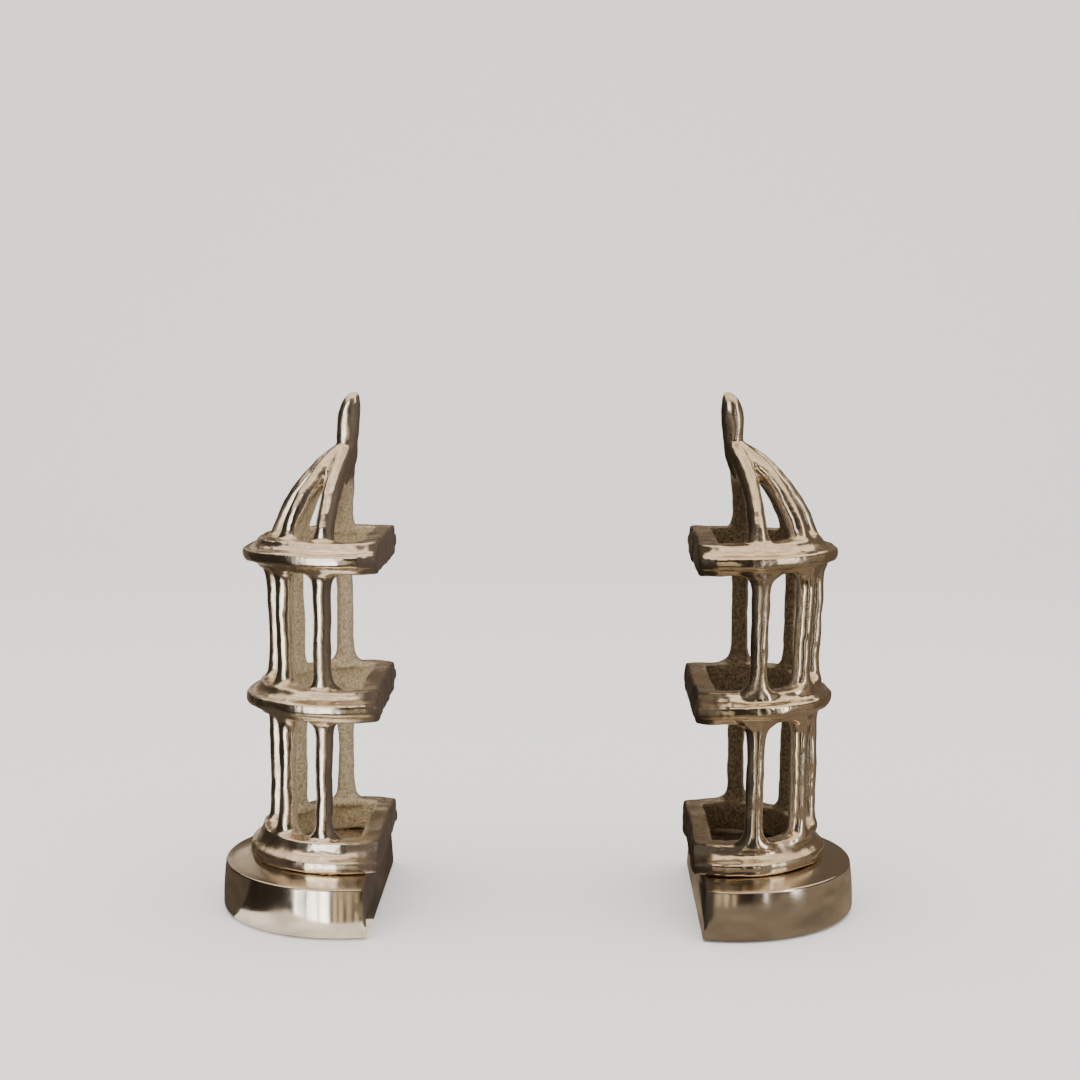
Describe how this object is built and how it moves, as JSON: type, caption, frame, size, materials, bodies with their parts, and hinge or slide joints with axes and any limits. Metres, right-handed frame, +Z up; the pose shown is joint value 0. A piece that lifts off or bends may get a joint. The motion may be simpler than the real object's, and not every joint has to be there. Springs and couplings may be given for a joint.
{
  "type": "book ends",
  "caption": "Pair of free-standing book ends: each a domed birdcage of bars and flanged rings with a finial, on a heavy D-shaped base, flat on the side that faces the books.",
  "frame": {"origin": "on the shelf, midway between the two ends, in the middle of their depth", "axes": "+X along the row of books from the left end to the right end, +Y away from the reader to the back of the shelf, +Z up"},
  "size_m": [0.297, 0.12, 0.2415],
  "materials": {
    "polished_nickel": "polished",
    "cast_nickel": "polished",
    "felt": "matte",
    "screw_steel": "satin"
  },
  "bodies": {
    "left_end": {"left_base_block": "polished_nickel", "left_felt_pad": "felt", "left_fixing_screws": "screw_steel", "left_foot_ring": "polished_nickel", "left_lower_bars": "cast_nickel", "left_middle_ring": "polished_nickel", "left_upper_bars": "cast_nickel", "left_top_ring": "polished_nickel", "left_dome_ribs": "cast_nickel", "left_finial": "polished_nickel"},
    "right_end": {"right_base_block": "polished_nickel", "right_felt_pad": "felt", "right_fixing_screws": "screw_steel", "right_foot_ring": "polished_nickel", "right_lower_bars": "cast_nickel", "right_middle_ring": "polished_nickel", "right_upper_bars": "cast_nickel", "right_top_ring": "polished_nickel", "right_dome_ribs": "cast_nickel", "right_finial": "polished_nickel"}
  },
  "joints": [
    {"name": "row_spread", "type": "slide", "parent": "left_end", "child": "right_end", "axis": [1, 0, 0], "range_m": [-0.14, 0.26]}
  ]
}
